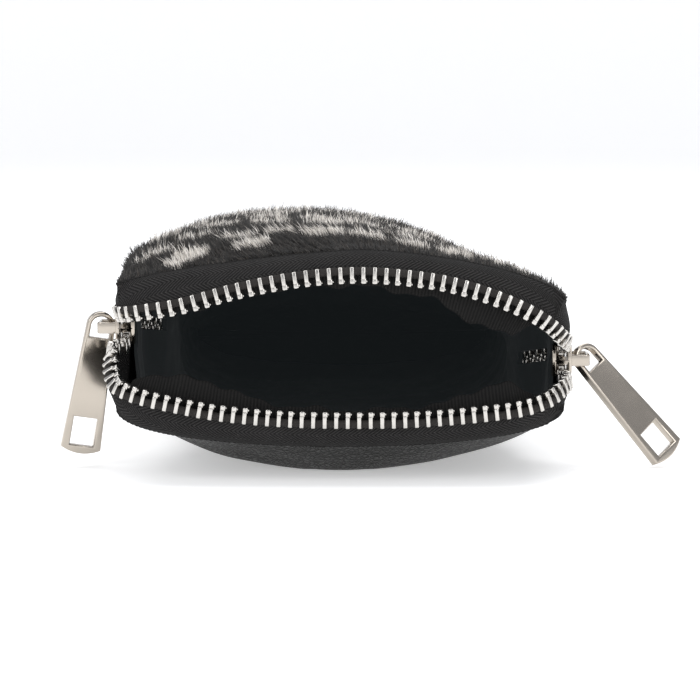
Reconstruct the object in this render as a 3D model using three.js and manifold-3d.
// A soft zip pouch for a phone, lying on its back with its mouth open.
//
// Millimetres, +Z up. The pouch rests on z = 0. Its mouth looks along -Y, its closed end is at +Y,
// and X runs across the mouth. The origin is in the middle of the flat patch it rests on.
//
// A short-pile front panel and a grained back panel are joined round the mouth and along the first
// part of both sides by a metal zip. Each half of the zip is a woven tape with a row of teeth.
// Two sliders stand at the corners of the open mouth, and a long flat pull hangs on each.

import * as THREE from 'three';
import { mergeVertices } from 'three/addons/utils/BufferGeometryUtils.js';
import Module from 'manifold-3d';

const wasm = await Module();
wasm.setup();

// ---------------------------------------------------------------- driving dimensions

const MOUTH_Y = -86;          // where the panels end and the zip tape begins
const CLOSED_Y = 92;          // the closed end of the pouch
const ZIP_END_Y = -14;        // where the zip's tapes die into the side seams
const TEETH_END_Y = -26;      // where its teeth stop, a little before
const END_CORNER = 22;        // radius of the two corners at the closed end
const END_TURN = 0.97;        // the share of their quarter circles that they run through
const END_NARROWING = 0.72;
const HALF_WIDE = 50;

const PILE_THICK = 3.4;       // front panel: backing and short pile together
const LEATHER_THICK = 1.6;    // back panel
const SEAM_THICK = 1.0;       // both panels, where they are sewn to each other or to a tape
const TAPE_THICK = 1.0;
const TAPE_EDGE_THICK = 0.6;  // beside the teeth
const LINING_THICK = 1.0;
const LINING_GAP = 0.9;
const WAIST_INSET = 2.0;      // from the middle of the closed zip in to the lining
const LINING_END_Y = 80.6;    // where the lining starts to close at the far end
const FACING_THICK = 0.8;     // the turned edge of the lining behind the teeth
const CLEARANCE = 0.35;       // between sewn pieces that touch
const BEAD_CLEARANCE = 1.1;   // from a tape to the row of teeth on its edge
const SEAM_ALLOWANCE = 1.05;  // from a panel's edge to the seam line

const TOOTH_PITCH = 2.75;
const TOOTH_WIDE = 1.0;       // along the zip
const TOOTH_LONG = 4.0;       // from the end of its legs to the tip of its head
const TOOTH_THICK = 2.2;      // through the tape
const BEAD_WIDE = 1.4;        // the corded edge that the legs grip
const CHAIN_HALF = 3.0;       // from the middle of the closed zip to the end of the legs
const THROAT_APART = 3.3;     // how far each row has swung out where it leaves the slider
const THROAT_RUN = 4;         // the length in which it swings out
const CLOSING_RUN = 5;        // the length in which the bare tapes close up, past the last tooth

const SLIDER = { long: 9.2, wide: 8.0, plate: 1.0, gap: 2.9, y: -64, tailInset: 0.8, shoulder: 0.6 };
const BAIL = { standOff: 4.6, wide: 2.8, thick: 0.9, long: 8.5 };
const PULL = {
  ringWide: 7.1, ringHole: 4.9, ringHoleLong: 5.4, ringTop: 1.2,
  long: 36.6, tipWide: 10.0, tipBulge: 1.6, thick: 2.6, bevel: 0.3,
  windowWide: 6.0, windowLong: 7.2, windowUp: 2.4, hang: 2.55,
};
const PULL_LEFT_OUT = 10;     // degrees that this pull stands out from straight down
const PULL_RIGHT_OUT = 40.5;  // this one's tip stands on what the pouch lies on
const PULL_LEFT_TWIST = 14;   // degrees that it has turned about its length, loose on its bail
const PULL_RIGHT_TWIST = 30;

// ---------------------------------------------------------------- shape tables

// The line where the two halves of the pouch meet on each side. The zip pinches it inwards behind
// the open mouth, and from ZIP_END_Y it is the plain side seam.
const sideLine = [
  { y: -92, leftX: -53.4, leftZ: 35.3, rightX: 55.1, rightZ: 27.2 },
  { y: -58, leftX: -53.4, leftZ: 35.3, rightX: 55.1, rightZ: 27.2 },
  { y: -46, leftX: -47.0, leftZ: 33.4, rightX: 48.0, rightZ: 24.8 },
  { y: -34, leftX: -45.6, leftZ: 31.0, rightX: 46.8, rightZ: 23.8 },
  { y: -16, leftX: -47.4, leftZ: 28.6, rightX: 48.2, rightZ: 23.4 },
  { y: 8, leftX: -49.6, leftZ: 25.4, rightX: 49.8, rightZ: 22.8 },
  { y: 40, leftX: -50.0, leftZ: 21.6, rightX: 50.0, rightZ: 20.6 },
  { y: 92, leftX: -49.0, leftZ: 15.0, rightX: 49.0, rightZ: 15.0 },
];

// How far the seams of the tapes stand above the side line, for the front panel, and below it, for
// the back panel.
const seamLine = [
  { y: -88, upLeft: 13.0, upRight: 18.0, downLeft: 18.3, downRight: 10.0 },
  { y: -76, upLeft: 12.3, upRight: 16.0, downLeft: 13.7, downRight: 9.2 },
  { y: -62, upLeft: 10.2, upRight: 12.4, downLeft: 12.0, downRight: 10.4 },
  { y: -46, upLeft: 9.4, upRight: 9.6, downLeft: 9.6, downRight: 9.6 },
  { y: -34, upLeft: 6.6, upRight: 6.6, downLeft: 6.8, downRight: 6.8 },
  { y: -26, upLeft: 4.5, upRight: 4.5, downLeft: 4.5, downRight: 4.5 },
  { y: -20, upLeft: 2.2, upRight: 2.2, downLeft: 2.2, downRight: 2.2 },
  { y: -14, upLeft: 0.3, upRight: 0.3, downLeft: 0.3, downRight: 0.3 },
  { y: 70, upLeft: 0.3, upRight: 0.3, downLeft: 0.3, downRight: 0.3 },
  { y: 92, upLeft: 0.9, upRight: 0.9, downLeft: 0.9, downRight: 0.9 },
];

// How far out from the side line those seams stand.
const seamOut = [
  { y: -88, upLeft: 0.3, upRight: -1.2, downLeft: 0.7, downRight: -1.4 },
  { y: -76, upLeft: 0.5, upRight: 0.0, downLeft: 0.3, downRight: -0.2 },
  { y: -62, upLeft: 0.8, upRight: 0.8, downLeft: 0.4, downRight: 0.4 },
  { y: -46, upLeft: 3.0, upRight: 3.4, downLeft: 2.4, downRight: 2.6 },
  { y: -34, upLeft: 2.4, upRight: 2.4, downLeft: 2.0, downRight: 2.0 },
  { y: -26, upLeft: 1.2, upRight: 1.2, downLeft: 1.0, downRight: 1.0 },
  { y: -20, upLeft: 0.4, upRight: 0.4, downLeft: 0.3, downRight: 0.3 },
  { y: -14, upLeft: 0.0, upRight: 0.0, downLeft: 0.0, downRight: 0.0 },
];

// The front panel: its highest line, and how full it is towards each side. Fullness 2 is an ellipse.
const crownLine = [
  { y: -86, z: 56.4, x: 5, fullLeft: 1.3, fullRight: 1.55 },
  { y: -74, z: 58.6, x: 1, fullLeft: 2.0, fullRight: 1.55 },
  { y: -58, z: 60.2, x: -6, fullLeft: 2.8, fullRight: 1.5 },
  { y: -30, z: 60.8, x: -10, fullLeft: 3.2, fullRight: 1.6 },
  { y: 0, z: 59.6, x: -8, fullLeft: 3.1, fullRight: 1.9 },
  { y: 30, z: 54.0, x: -5, fullLeft: 2.8, fullRight: 2.1 },
  { y: 60, z: 42.0, x: -2, fullLeft: 2.5, fullRight: 2.3 },
  { y: 80, z: 29.0, x: 0, fullLeft: 2.3, fullRight: 2.3 },
  { y: 92, z: 16.3, x: 0, fullLeft: 2.0, fullRight: 2.0 },
];

// The back panel: its lowest line. Below zero it is pressed flat by what it lies on.
const keelLine = [
  { y: -86, z: 8.7, x: 2, fullLeft: 2.2, fullRight: 2.0 },
  { y: -78, z: 3.6, x: 2, fullLeft: 1.9, fullRight: 1.75 },
  { y: -68, z: -0.6, x: 0, fullLeft: 1.9, fullRight: 1.7 },
  { y: -40, z: -2.2, x: 0, fullLeft: 2.3, fullRight: 2.2 },
  { y: 40, z: -2.2, x: 0, fullLeft: 2.7, fullRight: 2.7 },
  { y: 64, z: -1.0, x: 0, fullLeft: 2.6, fullRight: 2.6 },
  { y: 80, z: 3.4, x: 0, fullLeft: 2.4, fullRight: 2.4 },
  { y: 92, z: 13.7, x: 0, fullLeft: 2.0, fullRight: 2.0 },
];

// The ends of the tooth legs along the open lips, from the left slider to the right one. Where the
// lip is turned in fully its teeth point across the mouth (curl 90); at 0 they would point out of it.
const upperLip = [
  { x: -54.6, y: -74.0, z: 42.0, curl: 76 },
  { x: -54.6, y: -80.0, z: 42.3, curl: 80 },
  { x: -53.0, y: -85.6, z: 42.7, curl: 84 },
  { x: -49.0, y: -89.6, z: 43.4, curl: 84 },
  { x: -39.0, y: -91.8, z: 45.1, curl: 84 },
  { x: -24.4, y: -92.0, z: 49.0, curl: 84 },
  { x: -9.8, y: -92.0, z: 51.7, curl: 84 },
  { x: 2.7, y: -92.0, z: 52.7, curl: 84 },
  { x: 14.6, y: -92.0, z: 52.2, curl: 84 },
  { x: 26.8, y: -92.0, z: 50.4, curl: 84 },
  { x: 38.0, y: -91.8, z: 47.0, curl: 84 },
  { x: 46.0, y: -90.6, z: 43.4, curl: 80 },
  { x: 51.4, y: -87.4, z: 39.8, curl: 76 },
  { x: 54.8, y: -82.2, z: 36.3, curl: 74 },
  { x: 56.2, y: -75.8, z: 34.4, curl: 74 },
];
const lowerLip = [
  { x: -57.0, y: -74.0, z: 28.6, curl: 76 },
  { x: -57.4, y: -80.0, z: 25.6, curl: 78 },
  { x: -55.6, y: -85.4, z: 22.3, curl: 80 },
  { x: -51.6, y: -89.2, z: 20.5, curl: 82 },
  { x: -46.6, y: -91.2, z: 19.2, curl: 84 },
  { x: -40.3, y: -92.0, z: 17.9, curl: 84 },
  { x: -30.0, y: -92.4, z: 16.0, curl: 84 },
  { x: -14.0, y: -92.6, z: 14.5, curl: 84 },
  { x: 2.7, y: -92.6, z: 14.1, curl: 84 },
  { x: 19.0, y: -92.6, z: 14.4, curl: 84 },
  { x: 34.9, y: -92.2, z: 15.7, curl: 84 },
  { x: 44.5, y: -91.4, z: 17.0, curl: 82 },
  { x: 50.4, y: -88.8, z: 18.6, curl: 80 },
  { x: 54.2, y: -83.4, z: 20.4, curl: 78 },
  { x: 56.2, y: -76.0, z: 21.4, curl: 76 },
];

// ---------------------------------------------------------------- small helpers

const V = (x, y, z) => new THREE.Vector3(x, y, z);
const mix = (a, b, t) => a + (b - a) * t;
const clamp01 = (t) => Math.min(1, Math.max(0, t));
const smooth = (t) => clamp01(t) ** 2 * (3 - 2 * clamp01(t));
const radians = THREE.MathUtils.degToRad;

// A column of a table at any y, by cubic curves that don't overshoot.
function column(rows, name, y) {
  const last = rows.length - 1;
  if (y <= rows[0].y) return rows[0][name];
  if (y >= rows[last].y) return rows[last][name];
  const i = rows.findIndex((row) => row.y > y) - 1;
  const slope = (k) => (rows[k + 1][name] - rows[k][name]) / (rows[k + 1].y - rows[k].y);
  const tangent = (k) => {
    if (k === 0) return slope(0);
    if (k === last) return slope(last - 1);
    const before = slope(k - 1);
    const after = slope(k);
    return before * after <= 0 ? 0 : (2 * before * after) / (before + after);
  };
  const span = rows[i + 1].y - rows[i].y;
  const t = (y - rows[i].y) / span;
  const t2 = t * t;
  const t3 = t2 * t;
  return (2 * t3 - 3 * t2 + 1) * rows[i][name] + (t3 - 2 * t2 + t) * span * tangent(i)
    + (3 * t2 - 2 * t3) * rows[i + 1][name] + (t3 - t2) * span * tangent(i + 1);
}

// Evenly spaced numbers from a to b, both included.
const spread = (a, b, count) => Array.from({ length: count + 1 }, (_, i) => mix(a, b, i / count));

function geometryFrom(points, triangles) {
  const geometry = new THREE.BufferGeometry();
  geometry.setAttribute('position', new THREE.Float32BufferAttribute(points.flatMap((p) => [p.x, p.y, p.z]), 3));
  geometry.setIndex(triangles.flat());
  return facingOut(geometry);
}

// Turns the faces round if the solid's signed volume is negative.
function facingOut(geometry) {
  const position = geometry.getAttribute('position');
  const index = geometry.getIndex().array;
  const corner = (i) => V().fromBufferAttribute(position, i);
  let volume = 0;
  for (let i = 0; i < index.length; i += 3) {
    volume += corner(index[i]).dot(corner(index[i + 1]).cross(corner(index[i + 2])));
  }
  if (volume < 0) {
    for (let i = 0; i < index.length; i += 3) {
      [index[i + 1], index[i + 2]] = [index[i + 2], index[i + 1]];
    }
  }
  return geometry;
}

// Two triangles for the square a-b-c-d.
const quad = (a, b, c, d) => [[a, b, c], [a, c, d]];

// The outward normal at a point of a grid of points, by the neighbours on each side.
function gridNormal(grid, i, j) {
  const lastRow = grid.length - 1;
  const lastColumn = grid[0].length - 1;
  const along = V().subVectors(grid[Math.min(i + 1, lastRow)][j], grid[Math.max(i - 1, 0)][j]);
  const across = V().subVectors(grid[i][Math.min(j + 1, lastColumn)], grid[i][Math.max(j - 1, 0)]);
  return along.cross(across).normalize();
}

// A closed sheet: the given grid of points is its outer face, and its inner face lies a thickness behind,
// which thicknessAt gives for a row and column. side is 1 or -1, whichever makes the normals point out.
function sheet(grid, thicknessAt, side) {
  const rows = grid.length;
  const columns = grid[0].length;
  const inner = grid.map((row, i) => row.map((point, j) => (
    point.clone().addScaledVector(gridNormal(grid, i, j), -side * thicknessAt(i, j))
  )));
  const points = [...grid.flat(), ...inner.flat()];
  const outerAt = (i, j) => i * columns + j;
  const innerAt = (i, j) => rows * columns + i * columns + j;
  const triangles = [];
  for (let i = 0; i < rows - 1; i += 1) {
    for (let j = 0; j < columns - 1; j += 1) {
      triangles.push(...quad(outerAt(i, j), outerAt(i + 1, j), outerAt(i + 1, j + 1), outerAt(i, j + 1)));
      triangles.push(...quad(innerAt(i, j), innerAt(i, j + 1), innerAt(i + 1, j + 1), innerAt(i + 1, j)));
    }
  }
  const wall = (a, b) => triangles.push(...quad(outerAt(...a), outerAt(...b), innerAt(...b), innerAt(...a)));
  for (let j = 0; j < columns - 1; j += 1) {
    wall([0, j], [0, j + 1]);
    wall([rows - 1, j + 1], [rows - 1, j]);
  }
  for (let i = 0; i < rows - 1; i += 1) {
    wall([i + 1, 0], [i, 0]);
    wall([i, columns - 1], [i + 1, columns - 1]);
  }
  return geometryFrom(points, triangles);
}

function toSolid(geometry) {
  const bare = geometry.clone();
  bare.deleteAttribute('normal');
  bare.deleteAttribute('uv');
  const merged = mergeVertices(bare, 1e-4);
  return new wasm.Manifold(new wasm.Mesh({
    numProp: 3,
    vertProperties: merged.getAttribute('position').array,
    triVerts: new Uint32Array(merged.getIndex().array),
  }));
}

function toGeometry(solid) {
  const mesh = solid.getMesh();
  const geometry = new THREE.BufferGeometry();
  geometry.setAttribute('position', new THREE.BufferAttribute(mesh.vertProperties, 3));
  geometry.setIndex(new THREE.BufferAttribute(mesh.triVerts, 1));
  return geometry;
}

// ---------------------------------------------------------------- the pouch's skin

// The pouch narrows to its closed end round two corners.
function endFactor(y) {
  const into = (y - (CLOSED_Y - END_CORNER)) / END_CORNER;
  const corner = END_CORNER * (1 - Math.sqrt(1 - (END_TURN * clamp01(into)) ** 2));
  return 1 - (corner * END_NARROWING) / HALF_WIDE;
}

// hand is -1 on the left side and 1 on the right.
function sidePoint(y, hand) {
  const name = hand < 0 ? 'left' : 'right';
  return V(column(sideLine, `${name}X`, y) * endFactor(y), y, column(sideLine, `${name}Z`, y));
}

// rise is 1 for the seam of the front panel and -1 for the seam of the back panel.
function seamPoint(y, hand, rise) {
  const point = sidePoint(y, hand);
  const seam = (rise > 0 ? 'up' : 'down') + (hand < 0 ? 'Left' : 'Right');
  point.z += rise * column(seamLine, seam, y);
  point.x += hand * column(seamOut, seam, y);
  return point;
}

// A point of a panel. turn runs from 0 at its right seam to 1 at its left seam.
function panelPoint(y, turn, rise) {
  const rows = rise > 0 ? crownLine : keelLine;
  const hand = turn < 0.5 ? 1 : -1;
  const seam = seamPoint(y, hand, rise);
  const fullness = column(rows, hand > 0 ? 'fullRight' : 'fullLeft', y);
  const angle = turn * Math.PI;
  const across = Math.abs(Math.cos(angle)) ** (2 / fullness);
  const up = Math.sin(angle) ** (2 / fullness);
  const middleX = column(rows, 'x', y);
  const point = V(mix(middleX, seam.x, across), y, mix(seam.z, column(rows, 'z', y), up));
  if (rise > 0) point.z += handDent(point);
  point.z = Math.max(0, point.z);
  return point;
}

// Two shallow hollows where the stuffed front panel sinks, and a low swell between them.
function handDent(point) {
  const hollow = (x, y, wide, deep) => (
    -deep * Math.exp(-(((point.x - x) / wide) ** 2) - ((point.y - y) / wide) ** 2)
  );
  return hollow(26, -48, 13, 1.6) + hollow(-30, 8, 17, 1.3) + hollow(14, 34, 18, 1.5);
}

// Every piece of the skin is cut across at the same rows, closer together where it bends.
const zipRows = [-82.4, -79, -72, -65, -58, -51, -43, -34, TEETH_END_Y, -20, ZIP_END_Y];
const plainRows = [0, 14, 28, 42, 55, 66, 74, 80, 84.5, 88, 90.6, CLOSED_Y];
const skinRows = [MOUTH_Y, ...zipRows, ...plainRows];

// 0 on the side and end seams of a panel, 1 well inside them.
const awayFromSeams = (y, turn) => smooth(Math.min(turn, 1 - turn) * 8) * smooth((CLOSED_Y - y) / 8);

const panelThickness = (y, turn, rise) => (
  mix(SEAM_THICK, rise > 0 ? PILE_THICK : LEATHER_THICK, awayFromSeams(y, turn))
);

// Draws the two side edges and the mouth edge of a panel's grid back from the seam line.
function drawBack(grid) {
  grid[0].forEach((point, j) => {
    const corner = 1 - smooth((4.5 * Math.min(j, grid[0].length - 1 - j)) / grid[0].length);
    point.y += mix(CLEARANCE, 1.5 * SEAM_ALLOWANCE, corner);
  });
  grid.forEach((row) => {
    const last = row.length - 1;
    [[0, 1], [last, last - 1]].forEach(([edge, next]) => {
      row[edge].lerp(row[next], Math.min(0.5, SEAM_ALLOWANCE / row[edge].distanceTo(row[next])));
    });
  });
  return grid;
}

// rise is 1 for the front panel and -1 for the back panel.
function panel(rise, columns) {
  const turns = spread(0, 1, columns);
  const grid = skinRows.map((y) => turns.map((turn) => panelPoint(y, turn, rise)));
  return sheet(drawBack(grid), (i, j) => panelThickness(skinRows[i], turns[j], rise), rise);
}

// ---------------------------------------------------------------- the zip

// The end of the tooth legs beside the closed zip. In the slider the two rows swing apart, and past
// the last tooth the bare tapes close up.
function closedLeg(y, hand, rise) {
  const point = sidePoint(y, hand);
  const apart = THROAT_APART * smooth((SLIDER.y + SLIDER.shoulder - y) / THROAT_RUN);
  const closing = (CHAIN_HALF - CLEARANCE) * smooth((y - TEETH_END_Y) / CLOSING_RUN);
  point.z += rise * (CHAIN_HALF + apart - closing);
  return point;
}

const THROAT_Y = SLIDER.y - SLIDER.long / 2 + 0.4;
const MOUTH_MIDDLE_Z = 32.8;
const FRONT_STATIONS = 36;    // round the open mouth
const CORNER_ROWS = 3;        // rows of a lip's table, from the slider, whose tape is sewn to the panel's side
// The rows beside the closed zip, from its far end to the slider.
const closedRows = zipRows.filter((y) => y > THROAT_Y + 1).reverse();

// The seam of a tape across the mouth, straight behind the place on the lip whose x is given.
function seamBehind(x, rise) {
  let [low, high] = [0, 1];
  for (let step = 0; step < 24; step += 1) {
    const middle = (low + high) / 2;
    if (panelPoint(MOUTH_Y, middle, rise).x > x) low = middle;
    else high = middle;
  }
  return panelPoint(MOUTH_Y, (low + high) / 2, rise);
}

// One half of the zip from end to end: a leg point, its seam point and the way its teeth point,
// left side first. Stations stand closer together near the corners of the mouth.
function zipStations(rise, sideStops, frontCount) {
  const lip = rise > 0 ? upperLip : lowerLip;
  const plainInto = V(0, 0, -rise);
  const legs = [
    closedLeg(THROAT_Y, -1, rise), ...lip.map((row) => V(row.x, row.y, row.z)), closedLeg(THROAT_Y, 1, rise),
  ];
  const lipCurve = new THREE.CatmullRomCurve3(legs, false, 'centripetal');
  const turnedIn = new THREE.CatmullRomCurve3(lip.map((row, i) => V(row.curl, i, 0)), false, 'centripetal');
  const sideRun = (hand) => sideStops.map((y) => ({
    leg: closedLeg(y, hand, rise), seam: seamPoint(y, hand, rise), into: plainInto.clone(),
  }));
  const front = spread(0, 1, frontCount).slice(1, -1).map((even) => {
    const t = lipCurve.getUtoTmapping(mix(even, (1 - Math.cos(even * Math.PI)) / 2, 0.5));
    // Counts the table's rows: 0 at the left slider, 1 at the first row.
    const row = t * (legs.length - 1);
    const fromSlider = Math.min(row, legs.length - 1 - row);
    const leg = lipCurve.getPoint(t);
    const along = lipCurve.getTangent(t).setY(0).normalize();
    const curled = radians(turnedIn.getPoint(clamp01((row - 1) / (lip.length - 1))).x);
    const across = V(-leg.x, 0, MOUTH_MIDDLE_Z - leg.z);
    across.addScaledVector(along, -across.dot(along)).normalize().multiplyScalar(Math.sin(curled));
    const turned = fromSlider / CORNER_ROWS;
    const into = across.setY(-Math.cos(curled)).lerp(plainInto, 1 - smooth(turned)).normalize();
    const seam = turned < 1
      ? seamPoint(mix(THROAT_Y, MOUTH_Y, turned), t < 0.5 ? -1 : 1, rise) : seamBehind(leg.x, rise);
    return { leg, seam, into };
  });
  return [...sideRun(-1), ...front, ...sideRun(1).reverse()];
}

// Across the mouth the tape leaves the panel's edge straight ahead and curls in to the tooth legs.
// Beside the closed zip it lies flat.
function tapeAcross({ leg, seam, into }) {
  const end = leg.clone().addScaledVector(into, -Math.min(BEAD_CLEARANCE, 0.3 * leg.distanceTo(seam)));
  const chord = V().subVectors(end, seam);
  const start = seam.clone().addScaledVector(chord, CLEARANCE / chord.length());
  const ahead = V(0, -0.5 * chord.length(), 0);
  const curled = clamp01((seam.y - leg.y) / 6);
  const leave = chord.clone().multiplyScalar(0.3).lerp(ahead, curled);
  const arrive = into.clone().multiplyScalar(0.3 * chord.length());
  return new THREE.CubicBezierCurve3(start, start.clone().add(leave), end.clone().sub(arrive), end);
}

function tape(rise) {
  const sideStops = [ZIP_END_Y - 3, ...closedRows.slice(1), THROAT_Y];
  const stations = zipStations(rise, sideStops, FRONT_STATIONS);
  const grid = stations.map((station) => tapeAcross(station).getPoints(3));
  return sheet(grid, (i, j) => (j < 3 ? TAPE_THICK : TAPE_EDGE_THICK), rise > 0 ? -1 : 1);
}

// A smooth curve through the leg points, with the direction of the teeth along it.
function legCurve(rise) {
  const sideStops = [...closedRows.slice(2), THROAT_Y];
  const stations = zipStations(rise, sideStops, FRONT_STATIONS);
  const curve = new THREE.CatmullRomCurve3(stations.map((station) => station.leg), false, 'centripetal');
  curve.arcLengthDivisions = 2000;
  const inward = new THREE.CatmullRomCurve3(stations.map((station) => station.into), false, 'centripetal');
  return { curve, inward, length: curve.getLength() };
}

// One row of teeth on its corded edge, as one comb-shaped solid.
function teethRow(rise) {
  const { curve, inward, length } = legCurve(rise);
  const closedLength = TEETH_END_Y - SLIDER.y;
  const closedCount = Math.floor((closedLength - TOOTH_PITCH) / TOOTH_PITCH);
  const first = rise > 0 ? 0.9 : 0.9 + TOOTH_PITCH / 2;
  const closed = spread(first, first + closedCount * TOOTH_PITCH, closedCount);
  const lastClosed = closed[closed.length - 1];
  const openLength = length - 2 * lastClosed;
  const openCount = Math.round(openLength / TOOTH_PITCH);
  const open = spread(lastClosed, length - lastClosed, openCount).slice(1, -1);
  const centres = [...closed, ...open, ...closed.map((s) => length - s).reverse()];

  const frameAt = (s) => {
    const u = clamp01(s / length);
    const t = curve.getUtoTmapping(u);
    const tangent = curve.getTangent(t).normalize();
    const into = inward.getPoint(t).normalize();
    return { origin: curve.getPoint(t), into, through: V().crossVectors(tangent, into).normalize() };
  };
  const points = [];
  const triangles = [];
  // Four corners of the strip between two depths, where the row is cut across at s.
  const corners = (s, depths) => {
    const { origin, into, through } = frameAt(s);
    return depths.map((depth) => [1, -1].map((face) => {
      points.push(origin.clone().addScaledVector(into, depth).addScaledVector(through, (face * TOOTH_THICK) / 2));
      return points.length - 1;
    }));
  };
  const depths = [0, BEAD_WIDE, TOOTH_LONG];
  const stops = centres.flatMap((s) => [s - TOOTH_WIDE / 2, s + TOOTH_WIDE / 2]);
  const bare = depths.slice(0, 2);
  const cuts = [corners(0, bare), ...stops.map((s) => corners(s, depths)), corners(length, bare)];
  const strip = (a, b, low, high) => {
    triangles.push(...quad(a[low][0], b[low][0], b[high][0], a[high][0]));
    triangles.push(...quad(a[low][1], a[high][1], b[high][1], b[low][1]));
  };
  for (let i = 0; i < cuts.length - 1; i += 1) {
    const [a, b] = [cuts[i], cuts[i + 1]];
    const isTooth = i % 2 === 1;
    strip(a, b, 0, 1);
    triangles.push(...quad(a[0][0], a[0][1], b[0][1], b[0][0]));
    const top = isTooth ? 2 : 1;
    if (isTooth) {
      strip(a, b, 1, 2);
      triangles.push(...quad(a[1][0], a[2][0], a[2][1], a[1][1]));
      triangles.push(...quad(b[1][0], b[1][1], b[2][1], b[2][0]));
    }
    triangles.push(...quad(a[top][0], b[top][0], b[top][1], a[top][1]));
  }
  const end = cuts[cuts.length - 1];
  triangles.push(...quad(cuts[0][0][0], cuts[0][1][0], cuts[0][1][1], cuts[0][0][1]));
  triangles.push(...quad(end[0][0], end[0][1], end[1][1], end[1][0]));
  return geometryFrom(points, triangles);
}

// ---------------------------------------------------------------- the lining

// The point a given depth inside a panel, square to its surface.
function insidePanel(y, turn, rise, depth) {
  const step = 0.02;
  const along = V().subVectors(panelPoint(y + 0.5, turn, rise), panelPoint(y - 0.5, turn, rise));
  const across = V().subVectors(panelPoint(y, turn + step, rise), panelPoint(y, turn - step, rise));
  const normal = along.cross(across).normalize();
  return panelPoint(y, turn, rise).addScaledVector(normal, -rise * depth);
}

// The lining stands further off the panels where they turn down to the sides.
const liningGap = (turn) => LINING_GAP + 0.5 * (1 - smooth(Math.min(turn, 1 - turn) * 8));

const LINING_START_Y = -84.5;
const LINING_CUT_BACK = 18;
const BARE_TEETH_END_Y = -48;
const UPPER_TURNS = spread(0.0625, 0.9375, 14);
const LOWER_TURNS = spread(0.92, 0.08, 10);

// A loop round the inside of the pouch: over the front panel, then back under the back panel.
function innerLoop(y, extra) {
  // At the sides its edge is cut back as far as the sliders, behind the corners of the mouth.
  const cutBack = LINING_CUT_BACK * clamp01((BARE_TEETH_END_Y - y) / (BARE_TEETH_END_Y - LINING_START_Y));
  const half = (rise, turns) => turns.map((turn) => {
    const at = y + cutBack * (1 - smooth(Math.min(turn, 1 - turn) * 5));
    return insidePanel(at, turn, rise, panelThickness(at, turn, rise) + liningGap(turn) + extra);
  });
  // Behind the tapes it hangs straight down past the closed zip, and further in it covers it.
  const waist = (hand, ups) => ups.map((up) => {
    const point = sidePoint(y + cutBack, hand);
    const way = up > 0 ? 'upRight' : 'downRight';
    const reach = Math.min(CHAIN_HALF + 3.4, Math.max(1.2, 0.6 * column(seamLine, way, y + cutBack)));
    return point.add(V(-hand * (WAIST_INSET + extra), 0, up * reach));
  });
  return [
    ...waist(1, [-1, 0, 1]), ...half(1, UPPER_TURNS),
    ...waist(-1, [1, 0, -1]), ...half(-1, LOWER_TURNS),
  ];
}

// The lining is an inner pouch. It is open at the mouth and beside the first closed teeth, where it
// is sewn to both tapes, and it is closed by a seam at the far end.
function lining() {
  const stations = [
    LINING_START_Y, -79, -65, BARE_TEETH_END_Y, -34, TEETH_END_Y, ZIP_END_Y, 14, 42, 66, 77, LINING_END_Y,
  ];
  const outer = stations.map((y) => innerLoop(y, 0));
  const inner = stations.map((y) => innerLoop(y, LINING_THICK));
  const count = outer[0].length;
  const last = stations.length - 1;
  const points = [...outer.flat(), ...inner.flat()];
  const outerAt = (i, k) => i * count + ((k + count) % count);
  const innerAt = (i, k) => (last + 1 + i) * count + ((k + count) % count);
  const triangles = [];
  // The two strips of squares beside the closed zip are left out.
  const leftWaist = 3 + UPPER_TURNS.length;
  const besideTeeth = (k) => [0, 1, leftWaist, leftWaist + 1].includes((k + count) % count);
  const isCloth = (i, k) => i >= 0 && i < last && !(stations[i] < BARE_TEETH_END_Y && besideTeeth(k));
  const wall = (i, k, nextI, nextK) => {
    triangles.push(...quad(outerAt(i, k), outerAt(nextI, nextK), innerAt(nextI, nextK), innerAt(i, k)));
  };
  for (let k = 0; k < count; k += 1) {
    for (let i = 0; i < last; i += 1) {
      if (!isCloth(i, k)) continue;
      triangles.push(...quad(outerAt(i, k), outerAt(i + 1, k), outerAt(i + 1, k + 1), outerAt(i, k + 1)));
      triangles.push(...quad(innerAt(i, k), innerAt(i, k + 1), innerAt(i + 1, k + 1), innerAt(i + 1, k)));
      if (!isCloth(i - 1, k)) wall(i, k, i, k + 1);
      if (!isCloth(i, k - 1)) wall(i + 1, k, i, k);
      if (!isCloth(i, k + 1)) wall(i, k + 1, i + 1, k + 1);
    }
  }
  // The far seam: each face is drawn together at one point.
  const centre = (loop, back) => {
    const middle = loop.reduce((sum, point) => sum.add(point), V()).multiplyScalar(1 / loop.length);
    middle.y += back;
    points.push(middle);
    return points.length - 1;
  };
  const outerEnd = centre(outer[last], 2.2);
  const innerEnd = centre(inner[last], 1.2);
  for (let k = 0; k < count; k += 1) {
    triangles.push([outerAt(last, k), outerEnd, outerAt(last, k + 1)]);
    triangles.push([innerAt(last, k), innerAt(last, k + 1), innerEnd]);
  }
  return geometryFrom(points, triangles);
}

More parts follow.
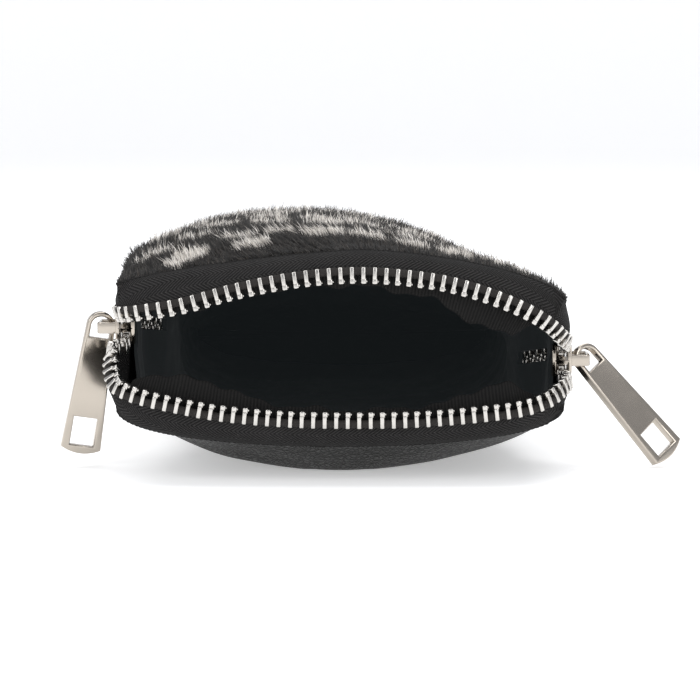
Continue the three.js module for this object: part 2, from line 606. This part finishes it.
// The lining is turned over behind each row of teeth, and its edge stands up in low waves.
// y is 0 at the facing's left end and 1 at its right end; reach is measured from the leg ends.
const FACING_START = { left: 74, lowerLeft: 70, right: 70 };   // from the row's two ends in to the facing's
const FACING_SUNK = 0.4;      // how far the facing reaches back past the leg ends
const FACING_BEHIND = 0.5;    // from the teeth to the facing
const FACING_LEAN = 1.4;      // how much further off its free edge stands
const FACING_STEPS = 24;
const facingRows = {
  upper: [
    { y: 0, reach: 3.4 }, { y: 0.3, reach: 3.6 }, { y: 0.5, reach: 4.6 }, { y: 0.7, reach: 6.2 },
    { y: 0.85, reach: 9.6 }, { y: 0.95, reach: 7.6 }, { y: 1, reach: 4.0 },
  ],
  lower: [
    { y: 0, reach: 3.6 }, { y: 0.06, reach: 7.4 }, { y: 0.2, reach: 8.4 }, { y: 0.34, reach: 5.0 },
    { y: 0.55, reach: 3.7 }, { y: 0.75, reach: 4.6 }, { y: 0.9, reach: 8.2 }, { y: 1, reach: 3.8 },
  ],
};

function facing(rise) {
  const { curve, inward, length } = legCurve(rise);
  const rows = rise > 0 ? facingRows.upper : facingRows.lower;
  const behind = TOOTH_THICK / 2 + FACING_BEHIND;
  const from = rise > 0 ? FACING_START.left : FACING_START.lowerLeft;
  const grid = spread(0, 1, FACING_STEPS).map((t) => {
    const s = mix(from, length - FACING_START.right, t);
    const along = curve.getUtoTmapping(s / length);
    const origin = curve.getPoint(along);
    const into = inward.getPoint(along).normalize();
    const inside = V().crossVectors(curve.getTangent(along), into).normalize().multiplyScalar(rise);
    const wave = 0.5 * Math.sin(s / 2.6) + 0.3 * Math.sin(s / 1.1);
    const reach = column(rows, 'reach', t) + wave;
    return [-FACING_SUNK, 0.3 * reach, reach].map((depth) => {
      const back = behind + (FACING_LEAN * Math.max(0, depth)) / reach;
      return origin.clone().addScaledVector(into, depth).addScaledVector(inside, back);
    });
  });
  return sheet(grid, () => FACING_THICK, rise > 0 ? -1 : 1);
}

// ---------------------------------------------------------------- sliders and pulls

// The outline of a slider's plate: broad at the mouth end, narrow at the tail.
function plateShape() {
  const { long, wide, tailInset, shoulder } = SLIDER;
  const shape = new THREE.Shape();
  shape.moveTo(-long / 2 + 0.7, -wide / 2);
  shape.lineTo(-long / 2, -wide / 2 + 1.3);
  shape.quadraticCurveTo(-long / 2 - 0.5, 0, -long / 2, wide / 2 - 1.3);
  shape.lineTo(-long / 2 + 0.7, wide / 2);
  shape.lineTo(shoulder - 1, wide / 2);
  shape.lineTo(shoulder + 1, wide / 2 - tailInset);
  shape.lineTo(long / 2, wide / 2 - tailInset);
  shape.lineTo(long / 2, -wide / 2 + tailInset);
  shape.lineTo(shoulder + 1, -wide / 2 + tailInset);
  shape.lineTo(shoulder - 1, -wide / 2);
  shape.closePath();
  return shape;
}

// A slider in its own frame: the zip runs along its Y, its mouth looks along -Y, the bail is at +X.
function sliderGeometry() {
  const { long, plate, gap } = SLIDER;
  const plateAt = (x) => {
    const solid = new THREE.ExtrudeGeometry(plateShape(), { depth: plate, bevelEnabled: false, curveSegments: 4 });
    // The shape's x runs along Y and its y along Z; the depth runs along X.
    solid.applyMatrix4(new THREE.Matrix4().set(0, 0, 1, x, 0, 1, 0, 0, -1, 0, 0, 0, 0, 0, 0, 1));
    return solid;
  };
  const inside = gap / 2;
  const nose = new THREE.Shape();
  nose.moveTo(-long / 2 - 0.3, 0);
  nose.lineTo(-long / 2 + 0.3, 1.0);
  nose.lineTo(-long / 2 + 1.6, 0.75);
  nose.lineTo(-long / 2 + 2.6, 0);
  nose.lineTo(-long / 2 + 1.6, -0.75);
  nose.lineTo(-long / 2 + 0.3, -1.0);
  nose.closePath();
  const post = new THREE.ExtrudeGeometry(nose, { depth: gap + plate, bevelEnabled: false });
  post.applyMatrix4(new THREE.Matrix4().set(0, 0, 1, -inside - plate / 2, 1, 0, 0, 0, 0, 1, 0, 0, 0, 0, 0, 1));

  // The bail is a flat strap that arches over the outer plate from mouth to tail.
  const base = inside + plate - 0.2;
  const top = inside + plate + BAIL.standOff;
  const half = BAIL.long / 2;
  const arch = new THREE.Shape();
  arch.moveTo(base, -half);
  arch.lineTo(top - 1.0, -half);
  arch.quadraticCurveTo(top, -half, top, -half + 1.2);
  arch.lineTo(top, half - 1.2);
  arch.quadraticCurveTo(top, half, top - 1.0, half);
  arch.lineTo(base, half);
  arch.lineTo(base, half - BAIL.thick - 0.3);
  arch.lineTo(top - BAIL.thick, half - BAIL.thick - 0.3);
  arch.lineTo(top - BAIL.thick, -half + BAIL.thick + 0.3);
  arch.lineTo(base, -half + BAIL.thick + 0.3);
  arch.closePath();
  const bail = new THREE.ExtrudeGeometry(arch, { depth: BAIL.wide, bevelEnabled: false, curveSegments: 3 });
  bail.translate(0, 0, -BAIL.wide / 2);

  const pieces = [plateAt(-inside - plate), plateAt(inside), post, bail].map(toSolid);
  return toGeometry(pieces.reduce((all, piece) => all.add(piece)));
}

// A pull in its own frame: it hangs down from the bail's axis, which is at the origin.
function pullGeometry(twist) {
  const p = PULL;
  const top = p.hang + p.ringTop;
  const tip = top - p.long;
  const half = p.ringWide / 2;
  const shape = new THREE.Shape();
  shape.moveTo(half, top - half);
  shape.absarc(0, top - half, half, 0, Math.PI, false);
  shape.lineTo(-p.tipWide / 2, tip + p.tipBulge);
  shape.quadraticCurveTo(0, tip - p.tipBulge * 0.6, p.tipWide / 2, tip + p.tipBulge);
  shape.closePath();

  const holeHalf = p.ringHole / 2;
  const hole = new THREE.Path();
  hole.moveTo(holeHalf, p.hang - holeHalf);
  hole.absarc(0, p.hang - holeHalf, holeHalf, 0, Math.PI, false);
  hole.lineTo(-holeHalf, p.hang - p.ringHoleLong);
  hole.lineTo(holeHalf, p.hang - p.ringHoleLong);
  hole.closePath();
  shape.holes.push(hole);

  const low = tip + p.windowUp;
  const window = new THREE.Path();
  window.moveTo(-p.windowWide / 2, low);
  window.lineTo(p.windowWide / 2, low);
  window.lineTo(p.windowWide / 2, low + p.windowLong);
  window.lineTo(-p.windowWide / 2, low + p.windowLong);
  window.closePath();
  shape.holes.push(window);

  const solid = new THREE.ExtrudeGeometry(shape, {
    depth: p.thick - 2 * p.bevel, bevelThickness: p.bevel, bevelSize: p.bevel, bevelOffset: -p.bevel,
    bevelSegments: 1, curveSegments: 6,
  });
  solid.translate(0, 0, -p.thick / 2 + p.bevel);
  // Stand the shape up: its y becomes Z.
  solid.rotateX(Math.PI / 2);
  solid.rotateZ(radians(twist));
  return solid;
}

// ---------------------------------------------------------------- materials and assembly

const material = (color, roughness, metalness = 0) => new THREE.MeshStandardMaterial({ color, roughness, metalness });
const pileBlack = material(0x1d1b1b, 0.95);
const grainedLeather = material(0x2d2d2a, 0.6);
const wovenTape = material(0x222226, 0.85);
const nickel = material(0xc8bfb4, 0.22, 1);
const liningCloth = material(0x0d1011, 0.9);
const facingCloth = material(0x2c2c2c, 0.9);

const group = new THREE.Group();
function add(name, geometry, look, parent = group) {
  const mesh = new THREE.Mesh(geometry, look);
  mesh.name = name;
  parent.add(mesh);
  return mesh;
}

add('front_panel', panel(1, 16), pileBlack);
add('back_panel', panel(-1, 12), grainedLeather);
add('zip_tape_front', tape(1), wovenTape);
add('zip_tape_back', tape(-1), wovenTape);
add('zip_teeth_front', teethRow(1), nickel);
add('zip_teeth_back', teethRow(-1), nickel);
add('lining', lining(), liningCloth);
add('lining_edge_front', facing(1), facingCloth);
add('lining_edge_back', facing(-1), facingCloth);

// Each slider stands on the side line, and its pull hangs on the middle of its bail.
const bailAxis = SLIDER.gap / 2 + SLIDER.plate + BAIL.standOff - BAIL.thick / 2;
for (const [name, hand, out, twist] of [
  ['left', -1, PULL_LEFT_OUT, PULL_LEFT_TWIST], ['right', 1, PULL_RIGHT_OUT, PULL_RIGHT_TWIST],
]) {
  const place = new THREE.Group();
  place.position.copy(sidePoint(SLIDER.y, hand));
  group.add(place);
  const slider = add(`slider_${name}`, sliderGeometry(), nickel, place);
  slider.rotation.set(0, hand < 0 ? Math.PI : 0, 0);
  const pull = add(`pull_${name}`, pullGeometry(twist), nickel, place);
  pull.position.set(hand * bailAxis, 0, 0);
  pull.rotation.set(0, radians(hand < 0 ? out : -out), 0);
}

export default group;
